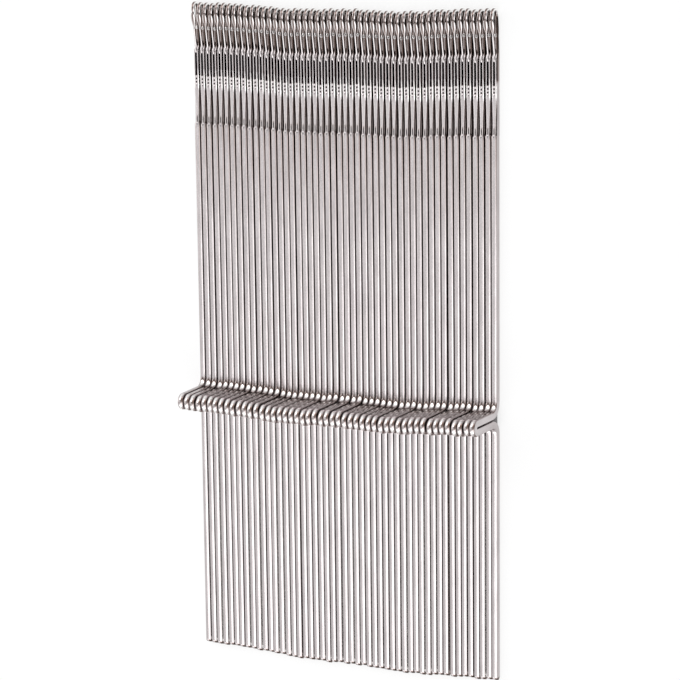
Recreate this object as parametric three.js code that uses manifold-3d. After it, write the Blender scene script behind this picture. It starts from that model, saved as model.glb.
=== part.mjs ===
// A set of 50 latch needles for a flat-bed knitting machine, lying side by side on their spines.
// X runs across the row, Y along the needles with the hooks at +Y, Z up from the surface they
// lie on, so that the butts stand up. Lengths are in millimetres. The origin is the middle of
// the row's box, on the surface.

import * as THREE from "three";
import { mergeVertices } from "three/addons/utils/BufferGeometryUtils.js";
import Module from "manifold-3d";

// The row of needles
const NEEDLE_COUNT = 50;
const SWINGING_LATCH_COUNT = 5; // the nearest needles, at +X, have a separate latch and rivet
const PITCH = 1.697;
const FAN_ANGLE = 1.9; // degrees that an outermost needle leans towards the middle
const BOW_DEPTH = 1.14; // how far the outermost needles lie ahead of the middle ones
const WAVE_HEIGHT = 0.22;
const WAVE_LENGTH = 18; // in needles
const LENGTHWISE_SCATTER = 0.4;
const SIDEWAYS_SCATTER = 0.12;
const LEAN_SCATTER = 0.25; // degrees
const YAW_SCATTER = 0.1; // degrees, about the head of a needle

// The wire of the stem
const NEEDLE_LENGTH = 171;
const SHANK_WIDTH = 1.4; // across the row
const SHANK_DEPTH = 2.0; // from spine to front

// The hook
const HOOK_RADIUS = 1.6;
const HOOK_WIRE_DEPTH = 0.75;
const HOOK_WIDTH = 0.8;
const HOOK_LIFT = 0.05; // of the hook's back above the spine
const HOOK_TIP_DROP = 3.15; // from the top of the hook down to its tip
const HOOK_TIP_WIDTH = 0.45;
const HOOK_TIP_DEPTH = 0.3;
const HOOK_TIP_DIP = 0.27; // of the tip below the front of the hook
const HOOK_NOSE_DIP = 0.09; // of the nose's middle, where the latch rests
const HOOK_NOSE_DEPTH = 0.62;

// The throat, the cheeks and the slot
const THROAT_FROM_TOP = 7.0;
const THROAT_DEPTH = 0.95;
const THROAT_WIDTH = 1.2;
const CHEEK_START = 10.9; // from the top of the hook
const CHEEK_START_DEPTH = 1.1;
const CHEEK_RISE = 1.8;
const CHEEK_WIDTH = 1.4;
const CHEEK_DEPTH = 1.75;
const SLOT_SIDE_CLEARANCE = 0.05;
const SLOT_WEB = 0.38; // left between the slot and the spine
const SLOT_END_WEB = 1.15;
const SLOT_DEEP_RUN = 0.9; // of the slot's deep part past the eye of the latch
const SLOT_END_CLEARANCE = 0.3;
const WAIST_LENGTH = 8.2; // from the spoon seat down to the plain shank

// The rivet
const RIVET_FROM_TOP = 12.6;
const RIVET_HEIGHT = 1.2; // above the spine
const RIVET_RADIUS = 0.3;
const RIVET_SEAT_CLEARANCE = 0.012;
const RIVET_RUNNING_CLEARANCE = 0.03;
const RIVET_PROUD = 0.02;
const RIVET_SIDES = 10;

// The latch
const LATCH_THICKNESS = 0.4;
const LATCH_EYE_WALL = 0.45;
const LATCH_NECK_DEPTH = 0.7;
const LATCH_NECK_START = 1.3; // from the rivet
const LATCH_TIP_DEPTH = 0.44;
const LATCH_TIP_RUN = 0.57; // of the blade before and under the start of the spoon
const SPOON_LENGTH = 4.0;
const SPOON_WIDTH = 1.35;
const SPOON_THICKNESS = 0.32;
const SPOON_CUP_DEPTH = 0.16;
const SPOON_CUP_MOUTH = 0.85; // as a share of the rim
const SPOON_CUP_FLOOR = 0.4; // as a share of the rim
const SPOON_BACK_SCALE = 0.66; // the domed back is this much smaller than the rim
const SPOON_RIM_SHARE = 0.4; // of the spoon's thickness that faces the hook
const SPOON_OVERHANG = 0.4; // of the spoon past the hook's tip
const SPOON_FULL_FROM_TO = [0.45, 0.8]; // a joined latch's widest stretch, as shares of the spoon
const SPOON_FULL_WIDTH = 0.9; // as a share of the spoon's width
const LATCH_REST_GAP = 0.05;
const JOINED_EYE_BITE = 0.05; // of a joined latch into each cheek

// The butt
const BUTT_FROM_TOP = 102.5; // from the top of the hook to the slit of the fold
const BUTT_REACH = 13.2; // from the shank's front to the tip of the fold
const BUTT_SLIT = 0.35;
const BEND_RADIUS = 1.9; // inside the bends between shank and butt

// Steps of the round stretches
const HOOK_STEPS = 4;
const BEND_STEPS = 2;
const FOLD_STEPS = 3;
const TAIL_STEPS = 2;
const TAIL_ARC = 72; // degrees from the shank's face to the flat end
const EYE_STEPS = 4;
const SPOON_SIDES = 8;

const HOOK_TOP = NEEDLE_LENGTH / 2;
const SPINE = 0;
const CUT_PAST = 0.5; // of a cutter past the face that it opens

const wasm = await Module();
wasm.setup();

// A closed geometry as a manifold solid, and the reverse.
function toSolid(geometry) {
  const bare = geometry.clone();
  bare.deleteAttribute("normal");
  bare.deleteAttribute("uv");
  const merged = mergeVertices(bare, 1e-4);
  return new wasm.Manifold(
    new wasm.Mesh({
      numProp: 3,
      vertProperties: merged.attributes.position.array,
      triVerts: new Uint32Array(merged.index.array),
    }),
  );
}

function toGeometry(solid) {
  const mesh = solid.getMesh();
  const geometry = new THREE.BufferGeometry();
  geometry.setAttribute("position", new THREE.BufferAttribute(mesh.vertProperties, 3));
  geometry.setIndex(new THREE.BufferAttribute(mesh.triVerts, 1));
  geometry.computeVertexNormals();
  return geometry;
}

// A closed skin over rings that have the same number of corners, with a flat end at each end.
// Seen along the run, each ring's corners go anticlockwise.
function skin(rings) {
  const corners = rings[0].length;
  const triangles = [];
  for (let r = 0; r + 1 < rings.length; r++) {
    for (let c = 0; c < corners; c++) {
      const a = r * corners + c;
      const b = r * corners + ((c + 1) % corners);
      triangles.push(a, b, b + corners, a, b + corners, a + corners);
    }
  }
  const last = (rings.length - 1) * corners;
  for (let c = 1; c + 1 < corners; c++) {
    triangles.push(0, c + 1, c);
    triangles.push(last, last + c, last + c + 1);
  }
  const geometry = new THREE.BufferGeometry();
  geometry.setAttribute("position", new THREE.Float32BufferAttribute(rings.flat(2), 3));
  geometry.setIndex(triangles);
  return geometry;
}

// An outline in the side view, in Y and Z, given thickness across the needle.
function sidePrism(points, thickness) {
  const outline = new THREE.Shape(points.map(([y, z]) => new THREE.Vector2(y, z)));
  const prism = new THREE.ExtrudeGeometry(outline, { depth: thickness, bevelEnabled: false });
  prism.translate(0, 0, -thickness / 2);
  const across = new THREE.Matrix4().makeBasis(
    new THREE.Vector3(0, 1, 0),
    new THREE.Vector3(0, 0, 1),
    new THREE.Vector3(1, 0, 0),
  );
  return prism.applyMatrix4(across);
}

function pin(radius, length, sides) {
  return new THREE.CylinderGeometry(radius, radius, length, sides).rotateZ(Math.PI / 2);
}

// The wire is a run of stations. Each has a front point, a back point and a width.
function station(front, back, width) {
  return { front, back, width };
}

function uprightStation(fromTop, front, back, width) {
  const y = HOOK_TOP - fromTop;
  return station([y, front], [y, back], width);
}

function bendStations(centre, frontRadius, backRadius, from, to, steps, width) {
  const run = [];
  for (let i = 0; i <= steps; i++) {
    const angle = THREE.MathUtils.degToRad(from + ((to - from) * i) / steps);
    const along = [Math.cos(angle), Math.sin(angle)];
    const at = (radius) => [centre[0] + radius * along[0], centre[1] + radius * along[1]];
    run.push(station(at(frontRadius), at(backRadius), width));
  }
  return run;
}

const hookCentreHeight = HOOK_LIFT + HOOK_RADIUS;
const hookFront = hookCentreHeight + HOOK_RADIUS;

// The nose runs from the end of the hook's arc down to the tip, and narrows on the way.
const noseMiddle = (HOOK_RADIUS + HOOK_TIP_DROP * 2) / 3;
const noseMiddlePoint = [HOOK_TOP - noseMiddle, hookFront - HOOK_NOSE_DIP];

function hookStations() {
  const tipFront = hookFront - HOOK_TIP_DIP;
  const inner = HOOK_RADIUS - HOOK_WIRE_DEPTH;
  const nose = [
    uprightStation(HOOK_TIP_DROP, tipFront, tipFront - HOOK_TIP_DEPTH, HOOK_TIP_WIDTH),
    station(
      noseMiddlePoint,
      [noseMiddlePoint[0], noseMiddlePoint[1] - HOOK_NOSE_DEPTH],
      (HOOK_WIDTH + HOOK_TIP_WIDTH) / 2,
    ),
  ];
  const centre = [HOOK_TOP - HOOK_RADIUS, hookCentreHeight];
  // On the hook the outer side is the wire's back, and the inner side is its front.
  const arc = bendStations(centre, inner, HOOK_RADIUS, 90, -90, HOOK_STEPS, HOOK_WIDTH);
  const swapped = nose.map((s) => station(s.back, s.front, s.width));
  return [...swapped, ...arc];
}

// The latch when closed lies on the nose of the hook, and when open on the front of the stem.
const rivetPoint = [HOOK_TOP - RIVET_FROM_TOP, RIVET_HEIGHT];
const spoonTipFromTop = HOOK_TIP_DROP - SPOON_OVERHANG;
const spoonRim = -SPOON_THICKNESS * SPOON_RIM_SHARE;
const spoonBack = spoonRim + SPOON_THICKNESS;
const latchEye = RIVET_RADIUS + LATCH_EYE_WALL;

function closedAngle() {
  const along = noseMiddlePoint[0] - rivetPoint[0];
  const up = noseMiddlePoint[1] - rivetPoint[1];
  return Math.atan2(up, along) + Math.asin((LATCH_REST_GAP - spoonRim) / Math.hypot(up, along));
}

const latchLength = (RIVET_FROM_TOP - spoonTipFromTop) / Math.cos(closedAngle());
const spoonStart = latchLength - SPOON_LENGTH;
const slotWidth = LATCH_THICKNESS + 2 * SLOT_SIDE_CLEARANCE;
const slotEnd = RIVET_FROM_TOP + spoonStart + SLOT_END_CLEARANCE;

function openAngle() {
  const reach = Math.hypot(spoonStart, spoonBack);
  const rise = CHEEK_DEPTH + LATCH_REST_GAP - RIVET_HEIGHT;
  return Math.PI - Math.atan2(spoonBack, spoonStart) - Math.asin(rise / reach);
}

function headStations() {
  const seatEnd = slotEnd + SPOON_LENGTH;
  const cheekFull = CHEEK_START + CHEEK_RISE;
  return [
    uprightStation(THROAT_FROM_TOP, THROAT_DEPTH, SPINE, THROAT_WIDTH),
    uprightStation(CHEEK_START, CHEEK_START_DEPTH, SPINE, CHEEK_WIDTH),
    uprightStation(cheekFull, CHEEK_DEPTH, SPINE, CHEEK_WIDTH),
    uprightStation(seatEnd, CHEEK_DEPTH, SPINE, CHEEK_WIDTH),
    uprightStation(seatEnd + WAIST_LENGTH, SHANK_DEPTH, SPINE, SHANK_WIDTH),
  ];
}

// The butt is the wire bent off the shank, folded back on itself and bent down again.
function buttStations() {
  const slit = HOOK_TOP - BUTT_FROM_TOP;
  const half = BUTT_SLIT / 2;
  const legFront = half + SHANK_DEPTH;
  const bendHeight = SHANK_DEPTH + BEND_RADIUS;
  const outer = BEND_RADIUS + SHANK_DEPTH;
  const foldHeight = SHANK_DEPTH + BUTT_REACH - legFront;
  const bend = (y, from, to) =>
    bendStations([y, bendHeight], BEND_RADIUS, outer, from, to, BEND_STEPS, SHANK_WIDTH);
  return [
    ...bend(slit + legFront + BEND_RADIUS, 270, 180),
    ...bendStations([slit, foldHeight], legFront, half, 0, 180, FOLD_STEPS, SHANK_WIDTH),
    ...bend(slit - legFront - BEND_RADIUS, 360, 270),
  ];
}

function tailStations() {
  const radius = SHANK_DEPTH / 2;
  const end = -HOOK_TOP + radius;
  const run = [];
  const arc = THREE.MathUtils.degToRad(TAIL_ARC);
  for (let i = 0; i <= TAIL_STEPS; i++) {
    const angle = (arc * i) / TAIL_STEPS;
    const y = end - (radius * Math.sin(angle)) / Math.sin(arc);
    const rise = radius * Math.cos(angle);
    run.push(station([y, radius + rise], [y, radius - rise], SHANK_WIDTH));
  }
  return run;
}

function wireRing({ front, back, width }) {
  const half = width / 2;
  return [
    [-half, ...front],
    [-half, ...back],
    [half, ...back],
    [half, ...front],
  ];
}

function makeWire() {
  const stations = [...hookStations(), ...headStations(), ...buttStations(), ...tailStations()];
  return toSolid(skin(stations.map(wireRing)));
}

// The slot opens towards the hook and gets shallower towards its lower end.
function makeSlotCutter() {
  const clear = CHEEK_DEPTH + CUT_PAST;
  const start = HOOK_TOP - CHEEK_START + CUT_PAST;
  const end = HOOK_TOP - slotEnd;
  const deepEnd = rivetPoint[0] - latchEye - SLOT_DEEP_RUN;
  const outline = [
    [start, clear],
    [end, clear],
    [end, SLOT_END_WEB],
    [deepEnd, SLOT_WEB],
    [start, SLOT_WEB],
  ];
  return toSolid(sidePrism(outline, slotWidth));
}

function atRivet(geometry) {
  return geometry.translate(0, rivetPoint[0], rivetPoint[1]);
}

function makeStem() {
  return makeWire().subtract(makeSlotCutter());
}

// The latch lies along +Y from the rivet, with its front towards +Z.
function latchBladeOutline() {
  const neck = LATCH_NECK_DEPTH / 2;
  const tip = LATCH_TIP_DEPTH / 2;
  const underSpoon = spoonStart + LATCH_TIP_RUN;
  const outline = [];
  for (let i = 0; i <= EYE_STEPS; i++) {
    const angle = Math.PI / 2 + (Math.PI * i) / EYE_STEPS;
    outline.push([latchEye * Math.cos(angle), latchEye * Math.sin(angle)]);
  }
  outline.push([LATCH_NECK_START, -neck]);
  outline.push([spoonStart - LATCH_TIP_RUN, -tip]);
  outline.push([underSpoon, spoonRim / 2]);
  outline.push([underSpoon, spoonBack / 2]);
  outline.push([spoonStart - LATCH_TIP_RUN, tip]);
  outline.push([LATCH_NECK_START, neck]);
  return outline;
}

// The spoon is a leaf with a domed back and a cup that faces the hook.
function spoonRing(height, scale) {
  const ring = [];
  for (let i = 0; i < SPOON_SIDES; i++) {
    const angle = (2 * Math.PI * (i + 0.5)) / SPOON_SIDES;
    const across = (Math.sin(angle) * SPOON_WIDTH) / 2;
    const along = (Math.cos(angle) * SPOON_LENGTH) / 2 / Math.cos(Math.PI / SPOON_SIDES);
    const middle = latchLength - SPOON_LENGTH / 2;
    ring.push([across * scale, middle + along * scale, height]);
  }
  return ring;
}

function makeSpoon() {
  const leaf = toSolid(skin([spoonRing(spoonBack, SPOON_BACK_SCALE), spoonRing(spoonRim, 1)]));
  const cupFloor = spoonRing(spoonRim + SPOON_CUP_DEPTH, SPOON_CUP_FLOOR);
  const cupMouth = spoonRing(spoonRim - SPOON_CUP_DEPTH, 2 * SPOON_CUP_MOUTH - SPOON_CUP_FLOOR);
  return leaf.subtract(toSolid(skin([cupFloor, cupMouth])));
}

function makeSwingingLatch() {
  const blade = toSolid(sidePrism(latchBladeOutline(), LATCH_THICKNESS));
  const round = Math.cos(Math.PI / RIVET_SIDES);
  const holeRadius = (RIVET_RADIUS + RIVET_RUNNING_CLEARANCE) / round;
  const hole = toSolid(pin(holeRadius, LATCH_THICKNESS * 2, RIVET_SIDES));
  return blade.add(makeSpoon()).subtract(hole);
}

// A latch of few faces for the needles whose three pieces share one node. Its eye fills the slot,
// where the rivet holds it to both cheeks.
function makeJoinedLatch() {
  const bladeAt = (y, depth, width) => station([y, depth / 2], [y, -depth / 2], width);
  const eyeWidth = slotWidth + 2 * JOINED_EYE_BITE;
  const leafEnd = station([latchLength, spoonBack / 2], [latchLength, spoonRim], LATCH_THICKNESS);
  const leafStations = SPOON_FULL_FROM_TO.map((share) => {
    const y = spoonStart + SPOON_LENGTH * share;
    return station([y, spoonBack], [y, spoonRim], SPOON_WIDTH * SPOON_FULL_WIDTH);
  });
  const run = [
    bladeAt(-latchEye, LATCH_NECK_DEPTH, eyeWidth),
    bladeAt(LATCH_NECK_START, LATCH_NECK_DEPTH, LATCH_THICKNESS),
    bladeAt(spoonStart - LATCH_TIP_RUN / 2, LATCH_TIP_DEPTH, LATCH_THICKNESS),
    ...leafStations,
    leafEnd,
  ];
  return skin(run.reverse().map(wireRing));
}

function makeRivet() {
  return pin(RIVET_RADIUS, CHEEK_WIDTH + 2 * RIVET_PROUD, RIVET_SIDES);
}

function makeStemWithRivetHole() {
  const radius = RIVET_RADIUS + RIVET_SEAT_CLEARANCE;
  return makeStem().subtract(toSolid(atRivet(pin(radius, CHEEK_WIDTH * 2, RIVET_SIDES))));
}

function makeWholeNeedle() {
  const latch = makeJoinedLatch().rotateX(closedAngle());
  return makeStem().add(toSolid(atRivet(latch)));
}

// Fixed, repeatable scatter between -0.5 and 0.5
function scatter(index, salt) {
  const wide = Math.sin(index * 12.9898 + salt * 78.233) * 43758.5453;
  return wide - Math.floor(wide) - 0.5;
}

function placeNeedle(group, index) {
  const middle = (NEEDLE_COUNT + 1) / 2;
  const side = (index - middle) / (middle - 1);
  const lean = THREE.MathUtils.degToRad(-FAN_ANGLE * side + LEAN_SCATTER * scatter(index, 21));
  const bow = BOW_DEPTH * (side * side - 0.5);
  const wave = -WAVE_HEIGHT * Math.cos((2 * Math.PI * index) / WAVE_LENGTH);
  const along = bow + wave + LENGTHWISE_SCATTER * scatter(index, 1);
  const yaw = THREE.MathUtils.degToRad(YAW_SCATTER * scatter(index, 15));
  const aside = SIDEWAYS_SCATTER * scatter(index, 2) + HOOK_TOP * Math.sin(yaw);
  const across = (index - middle) * PITCH + aside;
  const raised = (SHANK_WIDTH / 2) * Math.sin(Math.abs(lean));
  group.position.set(across, along, raised);
  group.rotation.set(0, lean, yaw, "ZYX");
}

function steel(colour, roughness) {
  return new THREE.MeshStandardMaterial({ color: colour, roughness, metalness: 1 });
}

const stemSteel = steel(0xc7c1c2, 0.22);
const latchSteel = steel(0xccc7c7, 0.18);
const rivetSteel = steel(0xbcb7b6, 0.3);

function namedMesh(name, geometry, material) {
  const mesh = new THREE.Mesh(geometry, material);
  mesh.name = name;
  return mesh;
}

const wholeNeedle = toGeometry(makeWholeNeedle());
const openStem = toGeometry(makeStemWithRivetHole());
const swingingLatch = toGeometry(makeSwingingLatch());
const rivet = makeRivet();

const needles = new THREE.Group();
for (let index = 1; index <= NEEDLE_COUNT; index++) {
  const label = String(index).padStart(2, "0");
  const needle = new THREE.Group();
  placeNeedle(needle, index);
  if (index <= NEEDLE_COUNT - SWINGING_LATCH_COUNT) {
    needle.add(namedMesh("needle_" + label, wholeNeedle, stemSteel));
  } else {
    const latch = namedMesh("latch_" + label, swingingLatch, latchSteel);
    latch.position.set(0, ...rivetPoint);
    latch.rotation.x = closedAngle();
    latch.userData.swing = openAngle() - closedAngle();
    const axle = namedMesh("rivet_" + label, rivet, rivetSteel);
    axle.position.copy(latch.position);
    needle.add(namedMesh("stem_" + label, openStem, stemSteel), latch, axle);
  }
  needles.add(needle);
}

// The set's own box is centred on the origin.
needles.updateMatrixWorld(true);
const box = new THREE.Box3().setFromObject(needles, true);
const centre = box.getCenter(new THREE.Vector3());
needles.position.set(-centre.x, -centre.y, -box.min.z);

const set = new THREE.Group();
set.add(needles);
export default set;
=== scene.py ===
"""A row of 50 latch needles for a flat-bed knitting machine, on a plain white floor.

Every needle is dressed with a smooth stem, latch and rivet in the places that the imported
part gives. Shapes are worked out in millimetres and turned into metres at the end. Along
a needle, a place is given by its distance from the top of the hook.
"""

import math
from typing import NamedTuple

import bpy
import numpy as np
from mathutils import Matrix, Vector


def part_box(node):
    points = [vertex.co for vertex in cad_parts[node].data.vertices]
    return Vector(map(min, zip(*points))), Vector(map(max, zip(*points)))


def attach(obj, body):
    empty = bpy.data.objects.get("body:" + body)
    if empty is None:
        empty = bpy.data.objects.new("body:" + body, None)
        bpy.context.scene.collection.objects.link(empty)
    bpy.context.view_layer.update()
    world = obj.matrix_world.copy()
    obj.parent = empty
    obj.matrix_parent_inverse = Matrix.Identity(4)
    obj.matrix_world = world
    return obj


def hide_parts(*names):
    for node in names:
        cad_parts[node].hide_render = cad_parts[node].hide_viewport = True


MM = 0.001

# The row
NEEDLE_COUNT = 50
SWINGING_LATCH_COUNT = 5
PITCH = 1.697
FAN_ANGLE = 1.9
BOW_DEPTH = 1.14
WAVE_HEIGHT = 0.22
WAVE_LENGTH = 18
LENGTHWISE_SCATTER = 0.4
SIDEWAYS_SCATTER = 0.12
LEAN_SCATTER = 0.25
YAW_SCATTER = 0.1

# What tells one kind of scatter from another
ALONG_SALT = 1
ASIDE_SALT = 2
YAW_SALT = 15
LEAN_SALT = 21
FLANK_SALT = 30

# The wire of the stem
NEEDLE_LENGTH = 171.0
HOOK_TOP = NEEDLE_LENGTH / 2
SHANK_WIDTH = 1.4
SHANK_DEPTH = 2.0
SHANK_EDGE = (0.6, 0.21)
EDGE_STEPS = 6

# The hook
HOOK_RADIUS = 1.6
HOOK_WIRE_DEPTH = 0.75
HOOK_WIDTH = 0.8
HOOK_EDGE = (0.36, 0.2)
HOOK_LIFT = 0.05
HOOK_TIP_DROP = 3.15
HOOK_TIP_WIDTH = 0.45
HOOK_TIP_DEPTH = 0.3
HOOK_TIP_DIP = 0.27
HOOK_TIP_END = 0.35
HOOK_TIP_STEPS = 8
HOOK_NOSE_DIP = 0.09
HOOK_FRONT = HOOK_LIFT + 2 * HOOK_RADIUS
HOOK_ARC_STEPS = 24

# The throat, the cheeks and the slot
STEM_WIDTH = 1.4
CHEEK_WIDTH = 1.18
CHEEK_DEPTH = 1.75
CHEEK_EDGE = (0.16, 0.12)
SLOT_WIDTH = 0.6
SLOT_FLOOR = 0.38
SLOT_END_FLOOR = 1.15
THROAT_WIDTH = 1.2
THROAT_EDGE = (0.5, 0.35)
CHEEK_START = 10.9
SLOT_CLEARANCE = 0.3
FLARE_WIDTH = 1.27
FLARE_EDGE = (0.3, 0.2)

# The flat spoon seat with its two pits, whose walls slope
SEAT_WIDTH = 1.3
SEAT_EDGE = (0.45, 0.2)
SEAT_RISE = 0.02
PIT_STARTS = (0.5, 1.4)
PIT_LENGTH = 0.52
PIT_WALL = 0.06
PIT_DEPTH = 0.4
PIT_WIDTH = 0.46

# The waist: places from the seat's end with their heights and front widths, then the dent
# before the shank, as places from the waist's end with the dent's depth and the heights
WAIST_LENGTH = 8.2
WAIST_EDGE = (0.3, 0.12)
WAIST_TAPER = ((-0.2, 1.72, 1.22), (1.4, 1.72, 1.08), (4.0, 1.76, 0.92))
WAIST_FRONT_WIDTH = 0.84
DENT_WIDTH = 0.4
DENT = ((-2.2, 0.0, 1.78), (-1.5, 0.07, 1.8), (-0.5, 0.1, 1.84), (-0.05, 0.03, 1.88))

# A section's ledge, as a share of its depth, and the small roundings about it
LEDGE_SHARE = 0.78
LEDGE_ROUND = 0.06
LEDGE_INSET = 0.04
WALL_FOOT = 0.12
GROOVE_ROUND = 0.06
BACK_EDGE_SHARE = 0.9
FRONT_CROWN_SHARE = 0.01

# The rivet, whose profile is in shares of its half length and its radius
RIVET_FROM_TOP = 12.6
RIVET_HEIGHT = 1.2
RIVET_RADIUS = 0.3
RIVET_PROUD = 0.02
RIVET_PROFILE = ((-1, 0.35), (-1, 0.8), (-0.985, 1), (0.985, 1), (1, 0.8), (1, 0.35))
RIVET_TONE = 0.2
RIVET_SIDES = 24

# The latch, by distances from the rivet
LATCH_THICKNESS = 0.4
LATCH_ROOT_THICKNESS = 0.56
LATCH_EYE_RADIUS = 0.75
LATCH_NECK_DEPTH = 0.7
LATCH_TIP_DEPTH = 0.44
LATCH_REST_GAP = 0.05
LATCH_SIDES = 20
NECK_START = 0.3
NECK_END = 1.3

# The latch's spoon, and how far before it and over what length the blade turns into it
SPOON_LENGTH = 4.0
SPOON_WIDTH = 1.18
SPOON_TIP_HALF = 0.06
SPOON_ROOT_SHARE = 0.3
SPOON_THICKNESS = 0.32
SPOON_RIM = -0.4 * SPOON_THICKNESS
SPOON_CUP_DEPTH = 0.16
SPOON_OVERHANG = 0.4
SPOON_FULL_AT = 0.66
SPOON_LEAD = 0.5
SPOON_MERGE = 1.3

# The butt and the tail
BUTT_FROM_TOP = 102.5
BUTT_REACH = 13.2
BUTT_SLIT = 0.35
BEND_RADIUS = 1.9
BEND_STEPS = 12
FOLD_STEPS = 20
BEND_LEAD = 0.4
LEG_LEAD = 0.6
SHANK_MIDDLE = 60
LOWER_SHANK_MIDDLE = 140
TAIL_STEPS = 8
TAIL_TURN = 84

# The outer sides of the first and the last needle, and the painted shade on the last one's head
OUTER_SIDE_FROM = 0.58
OUTER_SHADE_END = 18.3
OUTER_SHADE_DEPTH = 0.35

# What the tones from -1 to 1 turn the steel into: a painted highlight, a brown that is partly
# stain and partly painted shade, and black painted shade
PAINTED_HIGHLIGHT_COLOUR = (0.95, 0.94, 0.92)
STAIN_AND_SHADE_COLOUR = (0.15, 0.098, 0.08)
SHADE_COLOUR = (0.012, 0.008, 0.007)

# The steels by slot: colour, roughness, strength of the drawing lines and of the tarnish
STEELS = {
    "stem_steel": ((0.575, 0.535, 0.54), 0.16, 0.35, 0.5),
    "latch_steel": ((0.61, 0.575, 0.575), 0.13, 0.25, 0.35),
    "rivet_steel": ((0.5, 0.47, 0.46), 0.3, 0.3, 0.6),
}
TARNISH_TINT = (0.74, 0.66, 0.6)

# The steel's lines, clouds and specks: how fine they are across, along and in depth, per mm,
# their detail and roughness, and between which values of the noise they show
LINES = ((9.0, 0.25, 9.0), 3, 0.55)
LINES_SHOWN = (0.3, 0.7)
CLOUDS = ((0.5, 0.12, 0.5), 3, 0.55)
CLOUDS_SHOWN = (0.35, 0.65)
SPECKS = ((2.2, 1.3, 2.2), 4, 0.65)
SPECKS_SHOWN = (0.62, 0.78)

# What the clouds make of the colour, and the lines of the roughness, in metres for the depth
CLOUD_SHADES = (0.9, 1.05)
LINE_GLOSS = (0.85, 1.25)
LINE_DEPTH = 0.00002
GRAIN_SHIFT = 7

# The floor, in metres, and the painted shadow on it under the row, by the distance from the hooks
FLOOR_SIZE = 8.0
FLOOR_DROP = 0.0001
FLOOR_GREY = 0.93
FLOOR_ROUGHNESS = 0.9
FLOOR_GLOW = 1.06
SHADE_DROP = 0.00005
FLOOR_SHADE_COLOUR = (0.05, 0.036, 0.031)
SHADE_STOPS = (
    (1.2, 0),
    (2.2, 1),
    (60, 1),
    (90, 0.5),
    (97, 0),
    (108, 0),
    (112, 0.1),
    (165, 0.1),
    (170, 0),
)

# How much of the floor is plain white: from and to these distances in metres, these shares
FLOOR_WHITENESS = (0.2, 0.8, 0.7, 1.0)

# The world's strength as a light, and where the camera and the metal see it
WORLD_STRENGTH = (0.35, 1.0)

# Lamps in metres: place, width, height and radiance. They all shine on the middle.
LAMPS = {
    "key": ((0.62, -1.35, 2.1), 2.6, 2.6, 1.6),
    "front": ((-0.9, -1.95, 1.5), 1.6, 1.0, 1.7),
    "back": ((-0.55, 2.0, 1.85), 2.4, 1.9, 1.6),
    "left": ((-2.3, 0.6, 1.15), 1.9, 1.5, 1.5),
}

# Dark cards in metres: place, what they face, width and height
FLAGS = {
    "flag_top": ((-0.97, 0.56, 2.0), (0, 0, 0), 0.9, 0.46),
    "flag_right": ((0.5, 0.12, 0.16), (0, 0.02, 0), 0.36, 0.3),
}
FLAG_GREY = 0.01

# The camera, in the part's frame
CAMERA_AZIMUTH = 26.19
CAMERA_ELEVATION = 11.30
CAMERA_ROLL = -0.73
CAMERA_DISTANCE = 720.6
CAMERA_AIM = (-2.23, 0.20, 0.0)
CAMERA_LENS = 148.66
CAMERA_SENSOR = 36
CAMERA_CLIP = (0.01, 20)


def closed_angle():
    """The angle of the closed latch above the spine.

    It rests on the hook's nose, two thirds of the way from the end of the arc to the tip.
    """
    nose = HOOK_RADIUS / 3 + HOOK_TIP_DROP * 2 / 3
    along = RIVET_FROM_TOP - nose
    up = HOOK_FRONT - HOOK_NOSE_DIP - RIVET_HEIGHT
    return math.atan2(up, along) + math.asin((LATCH_REST_GAP - SPOON_RIM) / math.hypot(up, along))


LATCH_ANGLE = closed_angle()
LATCH_LENGTH = (RIVET_FROM_TOP - HOOK_TIP_DROP + SPOON_OVERHANG) / math.cos(LATCH_ANGLE)
SPOON_START = LATCH_LENGTH - SPOON_LENGTH
SLOT_END = RIVET_FROM_TOP + SPOON_START + SLOT_CLEARANCE
SEAT_END = SLOT_END + SPOON_LENGTH
WAIST_END = SEAT_END + WAIST_LENGTH


def scatter(index, salt):
    """Fixed, repeatable scatter between -0.5 and 0.5."""
    wide = math.sin(index * 12.9898 + salt * 78.233) * 43758.5453
    return wide - math.floor(wide) - 0.5


def needle_matrix(index):
    """Where a needle lies, before the row is centred."""
    middle = (NEEDLE_COUNT + 1) / 2
    side = (index - middle) / (middle - 1)
    lean = math.radians(-FAN_ANGLE * side + LEAN_SCATTER * scatter(index, LEAN_SALT))
    bow = BOW_DEPTH * (side * side - 0.5)
    wave = -WAVE_HEIGHT * math.cos(2 * math.pi * index / WAVE_LENGTH)
    along = bow + wave + LENGTHWISE_SCATTER * scatter(index, ALONG_SALT)
    yaw = math.radians(YAW_SCATTER * scatter(index, YAW_SALT))
    aside = SIDEWAYS_SCATTER * scatter(index, ASIDE_SALT) + HOOK_TOP * math.sin(yaw)
    across = (index - middle) * PITCH + aside
    raised = STEM_WIDTH / 2 * math.sin(abs(lean))
    turned = Matrix.Rotation(yaw, 4, "Z") @ Matrix.Rotation(lean, 4, "Y")
    return Matrix.Translation((across, along, raised)) @ turned


def row_shift():
    """How far the row was moved to centre its box, read from the last rivet."""
    low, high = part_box("rivet_50")
    rivet = Vector((0, HOOK_TOP - RIVET_FROM_TOP, RIVET_HEIGHT))
    return (low + high) / 2 / MM - needle_matrix(NEEDLE_COUNT) @ rivet


class Tone(NamedTuple):
    """The light and stain painted on a section, from -1 for a painted highlight to 1 for black
    painted shade; in between lies a brown that is partly stain and partly painted shade.

    The spread says how soon its front turns into the tone of its walls.
    """

    front: float
    wall: float
    ledge: float
    side: float
    back: float
    spread: float = 1.0


# Each section's painted highlights and painted shade, with a brown that is partly stain and
# partly painted shade
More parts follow.
